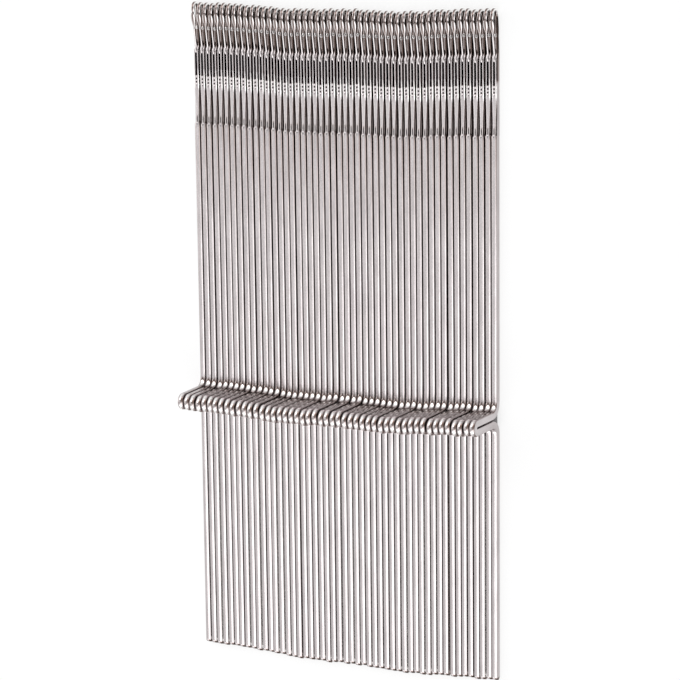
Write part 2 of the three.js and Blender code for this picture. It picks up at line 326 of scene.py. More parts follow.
HOOK = Tone(1.0, -0.5, -0.3, -1.0, 0.8)
THROAT = Tone(0.5, 1.0, 1.0, 0.95, 0.3, 2.4)
BUMP = Tone(-1.0, 1.0, 1.0, 0.95, 0.3, 2.2)
CHEEK = Tone(0.08, 0.3, 0.45, 0.3, 0.3)
FLARE = Tone(0.0, -0.6, 0.85, 0.85, 0.2)
SHOULDER = Tone(0.05, -1.0, 0.85, 0.85, 0.1)
WAIST = Tone(-0.05, 0.6, 0.5, 0.25, 0.1)
SHANK_TOP = Tone(0.0, 0.75, 0.5, 0.2, 0.1, 1.15)
SHANK = Tone(0.0, 0.2, 0.15, 0.15, 0.15)
LEG = Tone(0.22, 0.45, 0.0, 0.0, 0.2)
LOWER_SHANK = Tone(0.05, 0.08, 0.2, 0.2, 0.15)
TAIL = Tone(0.05, 0.9, 0.9, 0.9, 0.3)

# How much painted highlight or painted shade the two sides of a shank carry, which differs from
# needle to needle
FLANK_TONES = (-0.6, -0.2, 0.3, 0.7, 0.95)
LOWER_FLANK_TONES = (-1.0, -0.95, -0.8, -0.5, 0.6)

# The upper bend: a crease of painted shade, by steps round the bend, that drops so many steps per
# mm towards both edges, and the steps over which the painted highlight below it fades
CREASE_STEPS = (-1.0, -0.2, 1.2, 2.0)
CREASE_TONES = (0.0, 1.0, 1.0, -1.0)
CREASE_SLANT = 6.0
CREASE_FADE = (6.0, 10.5)

# The fold's nose: two rows of painted highlight, each with a painted dark tick beside its lower
# end. A tick is darkest at a share of its row, and fades over such a share to both sides.
NOSE_ROW_STEPS = 10
NOSE_DULL = 0.35
NOSE_HIGHLIGHT = 1.3
NOSE_TICK_AT = 0.68
NOSE_TICK_REACH = 0.36
NOSE_TICK_TONE = 2.6
NOSE_TICK_PLACE = 0.3
NOSE_TICK_WIDTH = 0.32

# The painted dark tick on the tail, and from which share of its turn the tail's sides carry
# painted shade
TAIL_TICK_TONE = 0.95
TAIL_TICK_GROWTH = 4
TAIL_DARK_FROM = 0.2


class Station:
    """One section of the wire. Front and back are points in the side view, as (y, z).

    A section may be narrower in front than at its base, with a ledge on either side, and it
    may have a groove along its front. The marks give the front's tone where it differs
    across the wire.
    """

    def __init__(
        self,
        front,
        back,
        width,
        edge,
        front_width=None,
        groove=(0.0, SLOT_WIDTH),
        tone=SHANK,
        marks=None,
    ):
        self.front = Vector(front)
        self.back = Vector(back)
        self.width = width
        self.edge = edge
        self.front_width = front_width or width
        self.groove = groove
        self.tone = tone
        self.marks = marks

    def toned(self, x, d, tone, share):
        """A corner whose tone is a share of the one given, and the rest of the front's."""
        front = self.marks(x) if self.marks else self.tone.front
        return x, d, blend(front, tone, share)

    def outline(self):
        """Corners as (x, distance from the back, tone), from the groove's left lip on."""
        depth = (self.front - self.back).length
        groove, groove_width = self.groove
        tone = self.tone
        half = self.width / 2
        front_half = self.front_width / 2
        across = min(self.edge[0], 0.98 * front_half)
        deep = min(self.edge[1], 0.45 * depth)
        ledge = LEDGE_SHARE * depth
        back_across = BACK_EDGE_SHARE * self.edge[0]
        back_deep = min(self.edge[1], 0.2 * depth)
        lip = min(groove_width / 2, 0.9 * (front_half - across) + 0.02)
        stepped = half - front_half > 0.01

        # The groove's floor, its wall and its lip; the floor of a deep groove is painted in full
        # shade
        crest = depth + FRONT_CROWN_SHARE * self.width
        dark = 1.0 if groove > 0.05 else 0.0
        floor_share = 1.0 if groove else 0.6
        right = [
            (lip * floor_share, crest - groove, 1.0, dark),
            (lip * (1 + floor_share) / 2, crest - min(GROOVE_ROUND, groove / 2), 1.0, dark),
            (lip, crest, 1.0, 0.0),
        ]
        # The front's rounded edge, and the ledge
        for i in range(EDGE_STEPS + 1):
            angle = math.radians(90 * i / EDGE_STEPS)
            x = front_half - across + across * math.sin(angle)
            d = depth - deep + deep * math.cos(angle)
            right.append((x, d, tone.wall, min(1.0, tone.spread * i / EDGE_STEPS)))
        foot_tone = tone.wall if stepped else tone.ledge
        right.append((front_half, depth - deep - WALL_FOOT, foot_tone, 1.0))
        right.append((half - LEDGE_INSET * stepped, ledge, tone.ledge, 1.0))
        right.append((half, ledge - LEDGE_ROUND, tone.side, 1.0))
        # The back's rounded edge
        for i in range(EDGE_STEPS + 1):
            angle = math.radians(90 * i / EDGE_STEPS)
            x = half - back_across + back_across * math.cos(angle)
            shade = blend(tone.side, tone.back, i / EDGE_STEPS)
            right.append((x, back_deep - back_deep * math.sin(angle), shade, 1.0))
        left = [self.toned(-x, *rest) for x, *rest in right]
        return left + [self.toned(*corner) for corner in right[::-1]]

    def ring(self):
        """The section's corners in space."""
        up = (self.front - self.back).normalized()
        ring = []
        for x, d, _ in self.outline():
            y, z = self.back + up * d
            ring.append((x, y, z))
        return ring


def upright(from_top, front, back, width, edge, **rest):
    """A section straight across the needle, at a distance from its top."""
    y = HOOK_TOP - from_top
    return Station((y, front), (y, back), width, edge, **rest)


def bend(centre, front_radius, back_radius, start, end, steps, width, edge, **rest):
    """Sections round a bend, as it goes from one angle to another."""
    run = []
    for i in range(steps + 1):
        angle = math.radians(start + (end - start) * i / steps)
        along = Vector((math.cos(angle), math.sin(angle)))
        middle = Vector(centre)
        front = middle + along * front_radius
        back = middle + along * back_radius
        run.append(Station(front, back, width, edge, **rest))
    return run


def blend(a, b, share):
    """From one value to another, with a smooth start and end."""
    smooth = share * share * (3 - 2 * share)
    return a + (b - a) * smooth


def hook_stations():
    """From the tip, up the nose and over the arc."""
    run = []
    for i in range(HOOK_TIP_STEPS):
        share = i / HOOK_TIP_STEPS
        from_top = HOOK_TIP_DROP + (HOOK_RADIUS - HOOK_TIP_DROP) * share
        rounded = math.sqrt(1 - (1 - min(1.0, (share + 0.03) * 4)) ** 2)
        size = HOOK_TIP_END + (1 - HOOK_TIP_END) * rounded
        full_depth = blend(HOOK_TIP_DEPTH, HOOK_WIRE_DEPTH, share)
        width = blend(HOOK_TIP_WIDTH, HOOK_WIDTH, share) * size
        dip = blend(HOOK_TIP_DIP, 0, min(1.0, share * 1.2))
        middle = HOOK_FRONT - dip - full_depth / 2
        y = HOOK_TOP - from_top
        front = (y, middle - full_depth * size / 2)
        back = (y, middle + full_depth * size / 2)
        dark = blend(THROAT.side, HOOK.side, min(1.0, share * 1.6))
        tip = HOOK._replace(wall=dark, ledge=dark, side=dark)
        run.append(Station(front, back, width, HOOK_EDGE, tone=tip))
    centre = (HOOK_TOP - HOOK_RADIUS, HOOK_LIFT + HOOK_RADIUS)
    inner = HOOK_RADIUS - HOOK_WIRE_DEPTH
    arc = (centre, inner, HOOK_RADIUS, 90, -90, HOOK_ARC_STEPS, HOOK_WIDTH, HOOK_EDGE)
    return run + bend(*arc, tone=HOOK)


def throat_stations():
    """The throat, which widens towards the cheeks, has walls in black painted shade and a small
    bump with a painted highlight.
    """
    sections = (
        (2.2, 0.8, 0.05, 0.85, HOOK_EDGE, THROAT),
        (3.0, 0.8, 0.04, 0.95, HOOK_EDGE, THROAT),
        (5.0, 0.8, 0, THROAT_WIDTH, THROAT_EDGE, THROAT),
        (6.2, 0.82, 0, THROAT_WIDTH, THROAT_EDGE, THROAT),
        (6.35, 0.87, 0, THROAT_WIDTH, THROAT_EDGE, BUMP),
        (6.95, 1.0, 0, THROAT_WIDTH, THROAT_EDGE, BUMP),
        (7.15, 0.9, 0, THROAT_WIDTH, THROAT_EDGE, THROAT),
        (CHEEK_START - 1.0, 0.95, 0, STEM_WIDTH, THROAT_EDGE, THROAT),
    )
    return [upright(*section, tone=tone) for *section, tone in sections]


def cheek_stations():
    """The cheeks, which rise from the throat, and the slot between them."""
    slot = CHEEK_DEPTH - SLOT_FLOOR
    slot_end = CHEEK_DEPTH - SLOT_END_FLOOR
    sections = (
        (CHEEK_START - 0.3, 1.0, 0.1, THROAT),
        (CHEEK_START, 1.1, 1.1 - SLOT_FLOOR, THROAT),
        (CHEEK_START + 0.6, 1.38, 1.38 - SLOT_FLOOR, CHEEK),
        (CHEEK_START + 1.2, 1.62, 1.62 - SLOT_FLOOR, CHEEK),
        (CHEEK_START + 1.8, CHEEK_DEPTH, slot, CHEEK),
        (SLOT_END - 2.0, CHEEK_DEPTH, slot, CHEEK),
        (SLOT_END - 1.4, CHEEK_DEPTH, slot_end, FLARE),
    )
    run = []
    for from_top, front, groove, tone in sections:
        wall = dict(front_width=CHEEK_WIDTH, groove=(groove, SLOT_WIDTH), tone=tone)
        run.append(upright(from_top, front, 0, STEM_WIDTH, CHEEK_EDGE, **wall))
    flare = dict(front_width=FLARE_WIDTH, groove=(slot_end, SLOT_WIDTH), tone=SHOULDER)
    run.append(upright(SLOT_END - 0.1, CHEEK_DEPTH, 0, STEM_WIDTH, FLARE_EDGE, **flare))
    return run


def seat_stations():
    """The spoon seat on the shoulders."""
    front = CHEEK_DEPTH + SEAT_RISE
    plain = dict(front_width=SEAT_WIDTH, groove=(SEAT_RISE, PIT_WIDTH), tone=SHOULDER)
    pit = plain | dict(groove=(PIT_DEPTH, PIT_WIDTH))
    sections = [(0, plain)]
    for start in PIT_STARTS:
        end = start + PIT_LENGTH
        sections += [(start, plain), (start + PIT_WALL, pit), (end - PIT_WALL, pit), (end, plain)]
    run = []
    for place, dressed in sections:
        run.append(upright(SLOT_END + place, front, 0, STEM_WIDTH, SEAT_EDGE, **dressed))
    end = dict(front_width=SEAT_WIDTH, tone=SHOULDER)
    run.append(upright(SEAT_END - 1.2, 1.74, 0, STEM_WIDTH, SEAT_EDGE, **end))
    return run


def waist_stations():
    """The waist, whose front narrows to a dent, and the start of the shank."""
    run = []
    for place, front, front_width in WAIST_TAPER:
        waist = dict(front_width=front_width, tone=WAIST)
        run.append(upright(SEAT_END + place, front, 0, STEM_WIDTH, WAIST_EDGE, **waist))
    for place, groove, front in DENT:
        dent = dict(front_width=WAIST_FRONT_WIDTH, groove=(groove, DENT_WIDTH), tone=WAIST)
        run.append(upright(WAIST_END + place, front, 0, STEM_WIDTH, WAIST_EDGE, **dent))
    for place, edge in ((0.25, (0.5, 0.2)), (1.0, SHANK_EDGE)):
        shank = (WAIST_END + place, SHANK_DEPTH, 0, SHANK_WIDTH, edge)
        run.append(upright(*shank, tone=SHANK_TOP))
    return run


def crease_marks(step):
    """Painted shade and painted highlight across the upper bend at a step round it."""
    fade = float(np.interp(step, CREASE_FADE, (0, 1)))

    def mark(x):
        crease = float(np.interp(step - CREASE_SLANT * abs(x), CREASE_STEPS, CREASE_TONES))
        return blend(crease, LEG.front, fade)

    return mark


def nose_dark(step):
    """How dark the painted ticks of the fold's nose are at a step round it."""
    share = (step % NOSE_ROW_STEPS) / NOSE_ROW_STEPS
    return max(0.0, 1 - abs(share - NOSE_TICK_AT) / NOSE_TICK_REACH)


def nose_marks(step):
    """Painted highlights and painted dark ticks across the fold's nose."""
    share = (step % NOSE_ROW_STEPS) / NOSE_ROW_STEPS
    painted_sheen = NOSE_DULL - NOSE_HIGHLIGHT * math.sin(math.pi * share)
    tick = NOSE_TICK_TONE * nose_dark(step)

    def mark(x):
        near = max(0.0, 1 - abs(x - NOSE_TICK_PLACE) / NOSE_TICK_WIDTH)
        return min(1.0, painted_sheen + tick * near)

    return mark


def butt_stations():
    """The wire bends off the shank, folds back on itself and bends down again."""
    slit = HOOK_TOP - BUTT_FROM_TOP
    half = BUTT_SLIT / 2
    leg_front = half + SHANK_DEPTH
    height = SHANK_DEPTH + BEND_RADIUS
    outer = BEND_RADIUS + SHANK_DEPTH
    fold = SHANK_DEPTH + BUTT_REACH - leg_front
    wire = (SHANK_WIDTH, SHANK_EDGE)
    upper = (slit + leg_front + BEND_RADIUS, height)
    lower = (slit - leg_front - BEND_RADIUS, height)
    above = upper[0] + BEND_LEAD
    below = lower[0] - BEND_LEAD
    run = [
        upright(SHANK_MIDDLE, SHANK_DEPTH, 0, *wire),
        Station((above, SHANK_DEPTH), (above, 0), *wire),
    ]
    # The bend has a crease of painted shade, then a painted highlight that tapers off towards the
    # leg.
    for i, station in enumerate(bend(upper, BEND_RADIUS, outer, 270, 180, BEND_STEPS, *wire)):
        station.tone = LEG._replace(wall=0.8, spread=1.2)
        station.marks = crease_marks(i)
        run.append(station)
    for z in (height + LEG_LEAD, fold - LEG_LEAD):
        run.append(Station((slit + leg_front, z), (slit + half, z), *wire, tone=LEG))
    # The fold is worn bright on both shoulders of its nose.
    for i, station in enumerate(bend((slit, fold), leg_front, half, 0, 180, FOLD_STEPS, *wire)):
        station.tone = LEG._replace(wall=0.5 + 0.5 * nose_dark(i), spread=1.5)
        station.marks = nose_marks(i)
        # The fold has painted highlights on both shoulders of its nose.
        run.append(station)
    run += bend(lower, BEND_RADIUS, outer, 360, 270, BEND_STEPS, *wire)
    run.append(Station((below, SHANK_DEPTH), (below, 0), *wire, tone=LOWER_SHANK))
    run.append(upright(LOWER_SHANK_MIDDLE, SHANK_DEPTH, 0, *wire, tone=LOWER_SHANK))
    return run


def tail_marks(share):
    """Tones across the tail, which ends in a painted dark tick on its right."""
    tick = min(TAIL_TICK_TONE, TAIL_TICK_GROWTH * share)
    return lambda x: LOWER_SHANK.front + tick * max(0.0, min(1.0, TAIL_TICK_GROWTH * x))


def tail_stations():
    """The rounded tail, which ends in a small flat."""
    radius = SHANK_DEPTH / 2
    end = -HOOK_TOP + radius
    last = math.radians(TAIL_TURN)
    run = []
    for i in range(TAIL_STEPS + 1):
        share = i / TAIL_STEPS
        y = end - radius * math.sin(last * share) / math.sin(last)
        rise = radius * math.cos(last * share)
        front = (y, radius + rise)
        back = (y, radius - rise)
        tone = TAIL if share > TAIL_DARK_FROM else LOWER_SHANK
        wire = (SHANK_WIDTH, SHANK_EDGE)
        run.append(Station(front, back, *wire, tone=tone, marks=tail_marks(share)))
    return run


def skin(rings):
    """Vertices and faces over rings of as many corners each, closed at both ends."""
    count = len(rings[0])
    faces = []
    for r in range(len(rings) - 1):
        for c in range(count):
            a = r * count + c
            b = r * count + (c + 1) % count
            faces.append((a, b, b + count, a + count))
    last = (len(rings) - 1) * count
    faces.append(tuple(range(count))[::-1])
    faces.append(tuple(range(last, last + count)))
    return [corner for ring in rings for corner in ring], faces


def along_run(rings):
    """For each corner, its distance along the run of the rings."""
    centres = [np.mean(ring, axis=0) for ring in rings]
    travelled = 0.0
    distances = []
    for i, ring in enumerate(rings):
        if i:
            travelled += float(np.linalg.norm(centres[i] - centres[i - 1]))
        distances += [travelled] * len(ring)
    return distances


def add_values(mesh, name, values):
    """A value for each vertex, kept under a name."""
    attribute = mesh.attributes.new(name, "FLOAT", "POINT")
    attribute.data.foreach_set("value", np.array(values, np.float32))


def make_mesh(name, vertices, faces, grain, tone):
    """A mesh in millimetres, with the grain's coordinates and the tone for its material."""
    mesh = bpy.data.meshes.new(name)
    mesh.from_pydata(vertices, [], faces)
    attribute = mesh.attributes.new("grain", "FLOAT_VECTOR", "POINT")
    attribute.data.foreach_set("vector", np.array(grain, np.float32).ravel())
    add_values(mesh, "tone", tone)
    return mesh


def make_stem_mesh(name, flank, lower_flank, outer=0):
    """The stem. Outer is 1 or -1 where its right or left side has no neighbour.

    Such a side has less painted shade at the shoulders, and the right one has black painted shade
    at the head.
    """
    stations = hook_stations() + throat_stations() + cheek_stations() + seat_stations()
    stations += waist_stations() + butt_stations() + tail_stations()
    for station in stations:
        if station.tone in (SHANK_TOP, SHANK):
            station.tone = station.tone._replace(ledge=flank, side=flank)
        elif station.tone is LOWER_SHANK:
            station.tone = LOWER_SHANK._replace(ledge=lower_flank, side=lower_flank)
    rings = [station.ring() for station in stations]
    vertices, faces = skin(rings)
    flat = [point for station in stations for point in station.outline()]
    grain = [(x, run, d) for (x, d, _), run in zip(flat, along_run(rings))]
    tone = [shade for _, _, shade in flat]
    for i, (x, y, z) in enumerate(vertices):
        from_top = HOOK_TOP - y
        if x * outer < OUTER_SIDE_FROM or from_top > WAIST_END:
            continue
        # Black painted shade on the last needle's head; elsewhere an outer side keeps little
        # painted shade
        dark = outer == 1 and from_top < OUTER_SHADE_END and z > OUTER_SHADE_DEPTH
        tone[i] = 1.0 if dark else min(tone[i], SHANK.side)
    return make_mesh(name, vertices, faces, grain, tone)


def spoon_outline(share):
    """The spoon's section at a share of its length: domed towards the front, cupped behind."""
    if share < SPOON_FULL_AT:
        swell = blend(SPOON_ROOT_SHARE, 1.0, share / SPOON_FULL_AT)
    else:
        swell = max(0.0, 1 - ((share - SPOON_FULL_AT) / (1 - SPOON_FULL_AT)) ** 2.6) ** 0.5
    half = max(SPOON_TIP_HALF, SPOON_WIDTH / 2 * swell)
    points = []
    for i in range(LATCH_SIDES):
        angle = 2 * math.pi * i / LATCH_SIDES
        side = math.copysign(abs(math.cos(angle)) ** 0.7, math.cos(angle))
        rise = math.sin(angle)
        if rise >= 0:
            dome = (SPOON_THICKNESS - 0.08) * (0.35 + 0.65 * swell)
            z = SPOON_RIM + 0.08 + dome * rise ** 0.5
        else:
            z = SPOON_RIM - SPOON_CUP_DEPTH * swell * rise
        points.append((half * side, z))
    return points


def blade_outline(depth, thickness):
    """The blade's section, with rounded corners."""
    points = []
    for i in range(LATCH_SIDES):
        angle = 2 * math.pi * i / LATCH_SIDES
        side = math.cos(angle)
        rise = math.sin(angle)
        x = thickness / 2 * math.copysign(abs(side) ** 0.8, side)
        z = depth / 2 * math.copysign(abs(rise) ** 0.6, rise)
        points.append((x, z))
    return points


def latch_ring(y):
    """The latch's section at a distance from the rivet."""
    if y < 0:
        depth = 2 * math.sqrt(max(0.01, LATCH_EYE_RADIUS**2 - y * y))
    elif y < NECK_START:
        depth = 2 * LATCH_EYE_RADIUS - 0.1 * y
    else:
        neck = min(1, (y - NECK_START) / (NECK_END - NECK_START))
        depth = blend(2 * LATCH_EYE_RADIUS - 0.03, LATCH_NECK_DEPTH, neck)
        taper = max(0.0, (y - NECK_END) / (SPOON_START - 0.57 - NECK_END))
        depth += (LATCH_TIP_DEPTH - LATCH_NECK_DEPTH) * min(1, taper)
    thickness = blend(LATCH_ROOT_THICKNESS, LATCH_THICKNESS, max(0.0, min(1.0, y - 0.9)))
    blade = blade_outline(depth, thickness)
    into = (y - (SPOON_START - SPOON_LEAD)) / SPOON_MERGE
    if into <= 0:
        return [(x, y, z) for x, z in blade]
    spoon = spoon_outline(max(0.0, (y - SPOON_START) / SPOON_LENGTH))
    mix = blend(0, 1, min(1.0, into))
    return [(a + (c - a) * mix, y, b + (d - b) * mix) for (a, b), (c, d) in zip(blade, spoon)]


def latch_tone(vertices):
    """Painted shade below, a painted grey in the middle of the spoon's back and a painted
    highlight on its left.
    """
    tone = []
    for x, y, z in vertices:
        low = max(0.0, min(1.0, (0.05 - z) / 0.15))
        into = max(0.0, min(1.0, (y - SPOON_START) / 1.5))
        middle = into * max(0.0, 1 - abs(x) / 0.36)
        rim = into * max(0.0, min(1.0, (-x - 0.3) / 0.2))
        tone.append(max(0.9 * low, 0.9 * middle) - rim)
    return tone


def make_latch_mesh():
    """The latch along y from its rivet, with sections round the eye, the blade and the spoon."""
    eye = [-LATCH_EYE_RADIUS * math.cos(math.radians(15 * (i + 1))) for i in range(6)]
    blade = [NECK_START, 0.6, 0.95, NECK_END, 3.0, 5.0, SPOON_START - 0.55]
    spoon = [SPOON_START - SPOON_LEAD + (SPOON_LENGTH + 0.44) * i / 24 for i in range(25)]
    nose = [LATCH_LENGTH - 0.03, LATCH_LENGTH]
    rings = [latch_ring(y)[::-1] for y in eye + blade + spoon + nose][::-1]
    vertices, faces = skin(rings)
    return make_mesh("latch", vertices, faces, vertices, latch_tone(vertices))


def make_rivet_mesh():
    """A pin whose ends are slightly domed."""
    half = CHEEK_WIDTH / 2 + 0.01
    rings = []
    for x, share in RIVET_PROFILE:
        proud = RIVET_PROUD if abs(x) < 1 else RIVET_PROUD * 1.6
        place = half * x + math.copysign(proud, x)
        radius = RIVET_RADIUS * share
        turn = [2 * math.pi * i / RIVET_SIDES for i in range(RIVET_SIDES)]
        rings.append([(place, radius * math.cos(a), radius * math.sin(a)) for a in turn])
    vertices, faces = skin(rings)
    return make_mesh("rivet", vertices, faces, vertices, [RIVET_TONE] * len(vertices))


def smooth_by_area(mesh):
    """Vertex normals weighted by face area, so that wide faces stay flat beside round edges."""
    mesh.calc_loop_triangles()
    count = len(mesh.vertices)
    points = np.empty(count * 3)
    mesh.vertices.foreach_get("co", points)
    points = points.reshape(-1, 3)
    triangles = np.empty(len(mesh.loop_triangles) * 3, np.int64)
    mesh.loop_triangles.foreach_get("vertices", triangles)
    triangles = triangles.reshape(-1, 3)
    a, b, c = (points[triangles[:, i]] for i in range(3))
    areas = np.cross(b - a, c - a)
    normals = np.zeros((count, 3))
    for i in range(3):
        np.add.at(normals, triangles[:, i], areas)
    lengths = np.linalg.norm(normals, axis=1, keepdims=True)
    normals /= np.maximum(lengths, 1e-12)
    mesh.shade_smooth()
    mesh.normals_split_custom_set_from_vertices(normals.tolist())


def add_object(name, data):
    """An object that shows the data, linked into the scene."""
    thing = bpy.data.objects.new(name, data)
    bpy.context.scene.collection.objects.link(thing)
    return thing


def add_piece(name, template, matrix, material, body, replaced, seed):
    """A copy of a mesh, put in place in metres, with a grain of its own."""
    mesh = template.copy()
    mesh.name = name
    mesh.transform(Matrix.Scale(MM, 4) @ matrix)
    grain = np.empty(len(mesh.vertices) * 3, np.float32)
    mesh.attributes["grain"].data.foreach_get("vector", grain)
    grain[2::3] += GRAIN_SHIFT * seed
    mesh.attributes["grain"].data.foreach_set("vector", grain)
    smooth_by_area(mesh)
    mesh.materials.append(material)
    piece = add_object(name, mesh)
    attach(piece, body)
    if replaced:
        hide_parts(replaced)


def new_material(name):
    """A material, with its node tree and its shader."""
    material = bpy.data.materials.new(name)
    material.use_nodes = True
    tree = material.node_tree
    return material, tree, tree.nodes["Principled BSDF"]


def add_node(tree, kind, **values):
    """A node with its inputs or settings given by name."""
    node = tree.nodes.new(kind)
    for key, value in values.items():
        if key in node.inputs:
            node.inputs[key].default_value = value
        else:
            setattr(node, key, value)
    return node


def set_range(node, *ends):
    """Sets what a Map Range node goes from and to."""
    for name, value in zip(("From Min", "From Max", "To Min", "To Max"), ends):
        node.inputs[name].default_value = value


def make_steel(name, colour, roughness, line_strength, tarnish):
    """Drawn and polished steel, with fine lines along the wire and faint brown tarnish."""
    material, tree, shader = new_material(name)
    link = tree.links.new
    shader.inputs["Metallic"].default_value = 1.0

    place = add_node(tree, "ShaderNodeAttribute", attribute_name="grain")

    def noise(scale, detail, rough):
        mapping = add_node(tree, "ShaderNodeMapping", Scale=scale)
        texture = add_node(tree, "ShaderNodeTexNoise", Scale=1.0, Detail=detail, Roughness=rough)
        link(place.outputs["Vector"], mapping.inputs["Vector"])
        link(mapping.outputs["Vector"], texture.inputs["Vector"])
        return texture.outputs["Fac"]

    def ramp(source, shown, first, last):
        """From one colour to another between the two values at which it shows."""
        node = add_node(tree, "ShaderNodeValToRGB")
        link(source, node.inputs["Fac"])
        for element, position, shade in zip(node.color_ramp.elements, shown, (first, last)):
            element.position = position
            element.color = (*shade, 1)
        return node.outputs["Color"]

    lines = noise(*LINES)
    clouds = noise(*CLOUDS)
    specks = noise(*SPECKS)

    dull, bright = (tuple(min(1.0, c * share) for c in colour) for share in CLOUD_SHADES)
    tarnished = tuple(c * s for c, s in zip(colour, TARNISH_TINT))
    mix = add_node(tree, "ShaderNodeMix", data_type="RGBA")
    link(ramp(specks, SPECKS_SHOWN, (0, 0, 0), (tarnish,) * 3), mix.inputs[0])
    link(ramp(clouds, CLOUDS_SHOWN, dull, bright), mix.inputs[6])
    mix.inputs[7].default_value = (*tarnished, 1)

    # The tone lays painted highlights, a brown that is partly stain and partly painted shade, and
    # black painted shade over the steel.
    tone = add_node(tree, "ShaderNodeAttribute", attribute_name="tone")
    shown = mix.outputs[2]
    layers = ((0.0, -1.0, PAINTED_HIGHLIGHT_COLOUR), (0.0, 0.85, STAIN_AND_SHADE_COLOUR), (0.85, 1.0, SHADE_COLOUR))
    for first, last, shade in layers:
        share = add_node(tree, "ShaderNodeMapRange")
        set_range(share, first, last)
        link(tone.outputs["Fac"], share.inputs["Value"])
        toned = add_node(tree, "ShaderNodeMix", data_type="RGBA")
        link(share.outputs["Result"], toned.inputs[0])
        link(shown, toned.inputs[6])
        toned.inputs[7].default_value = (*shade, 1)
        shown = toned.outputs[2]
    link(shown, shader.inputs["Base Color"])

    low, high = ((roughness * share,) * 3 for share in LINE_GLOSS)
    link(ramp(lines, LINES_SHOWN, low, high), shader.inputs["Roughness"])

    bump = add_node(tree, "ShaderNodeBump", Strength=line_strength, Distance=LINE_DEPTH)
    link(lines, bump.inputs["Height"])
    link(bump.outputs["Normal"], shader.inputs["Normal"])
    return material


def seen_by_camera_or_metal(tree):
    """1 for camera, glossy and transmission rays, and 0 for the rest."""
    path = add_node(tree, "ShaderNodeLightPath")
    seen = path.outputs["Is Camera Ray"]
    for ray in ("Is Glossy Ray", "Is Transmission Ray"):
        either = add_node(tree, "ShaderNodeMath", operation="MAXIMUM")
        tree.links.new(seen, either.inputs[0])
        tree.links.new(path.outputs[ray], either.inputs[1])
        seen = either.outputs[0]
    return seen


def make_matt(shader, grey):
    """Turns a shader into a dull surface of one grey."""
    shader.inputs["Base Color"].default_value = (grey, grey, grey, 1)
    shader.inputs["Roughness"].default_value = FLOOR_ROUGHNESS
    shader.inputs["Specular IOR Level"].default_value = 0.0


def make_floor():
    """A white floor, on which only part of the object's shadow is seen."""
    bpy.ops.mesh.primitive_plane_add(size=FLOOR_SIZE, location=(0, 0, -FLOOR_DROP))
    floor = bpy.context.object
    floor.name = "floor"
    material, tree, shader = new_material("floor_paper")
    link = tree.links.new
    make_matt(shader, FLOOR_GREY)
    white = add_node(tree, "ShaderNodeEmission", Color=(1, 1, 1, 1), Strength=FLOOR_GLOW)
    place = add_node(tree, "ShaderNodeTexCoord")
    distance = add_node(tree, "ShaderNodeVectorMath", operation="LENGTH")
    link(place.outputs["Object"], distance.inputs[0])
    whiteness = add_node(tree, "ShaderNodeMapRange")
    link(distance.outputs["Value"], whiteness.inputs["Value"])
    set_range(whiteness, *FLOOR_WHITENESS)
    share = add_node(tree, "ShaderNodeMath", operation="MULTIPLY")
    link(seen_by_camera_or_metal(tree), share.inputs[0])
    link(whiteness.outputs["Result"], share.inputs[1])
    mix = add_node(tree, "ShaderNodeMixShader")
    link(share.outputs[0], mix.inputs[0])
    link(shader.outputs[0], mix.inputs[1])
    link(white.outputs[0], mix.inputs[2])
    link(mix.outputs[0], tree.nodes["Material Output"].inputs["Surface"])
    floor.data.materials.append(material)


def make_shade(shift):
    """A painted shadow under the row, on the floor between the first and the last needle."""
    vertices = []
    dark = []
    for index in range(1, NEEDLE_COUNT + 1):
        needle = Matrix.Translation(shift) @ needle_matrix(index)
        outer = index in (1, NEEDLE_COUNT)
        for from_top, shade in SHADE_STOPS:
            place = needle @ Vector((0, HOOK_TOP - from_top, 0))
            vertices.append((place.x * MM, place.y * MM, -SHADE_DROP))
            dark.append(0.0 if outer else shade)
    count = len(SHADE_STOPS)
    faces = []
    for row in range(NEEDLE_COUNT - 1):
        for stop in range(count - 1):
            a = row * count + stop
            faces.append((a, a + 1, a + 1 + count, a + count))
    mesh = bpy.data.meshes.new("floor_shade")
    mesh.from_pydata(vertices, [], faces)
    add_values(mesh, "shade", dark)
    material, tree, shader = new_material("floor_shade")
    make_matt(shader, FLOOR_GREY)
    darkness = add_node(tree, "ShaderNodeAttribute", attribute_name="shade")
    mix = add_node(tree, "ShaderNodeMix", data_type="RGBA")
    tree.links.new(darkness.outputs["Fac"], mix.inputs[0])
    mix.inputs[6].default_value = (FLOOR_GREY, FLOOR_GREY, FLOOR_GREY, 1)
    mix.inputs[7].default_value = (*FLOOR_SHADE_COLOUR, 1)
    tree.links.new(mix.outputs[2], shader.inputs["Base Color"])
    mesh.materials.append(material)
    add_object("floor_shade", mesh)


def make_world():
    """White where the camera and the metal see it, and a plain level of light on the rest."""
    world = bpy.data.worlds.new("studio")
    bpy.context.scene.world = world
    world.use_nodes = True
    tree = world.node_tree
    background = tree.nodes["Background"]
    background.inputs["Color"].default_value = (1, 1, 1, 1)
    strength = add_node(tree, "ShaderNodeMapRange")
    set_range(strength, 0, 1, *WORLD_STRENGTH)
    tree.links.new(seen_by_camera_or_metal(tree), strength.inputs["Value"])
    tree.links.new(strength.outputs["Result"], background.inputs["Strength"])


def aim(thing, place, target):
    """Puts a lamp or a card somewhere, turned towards its target."""
    thing.location = place
    towards = Vector(target) - Vector(place)
    thing.rotation_euler = towards.to_track_quat("-Z", "Y").to_euler()
    thing.visible_camera = False


def add_lamp(name, place, width, height, radiance):
    """A soft rectangle of light of an even brightness."""
    light = bpy.data.lights.new(name, "AREA")
    light.shape = "RECTANGLE"
    light.size = width
    light.size_y = height
    light.energy = radiance * math.pi * width * height
    aim(add_object(name, light), place, (0, 0, 0))


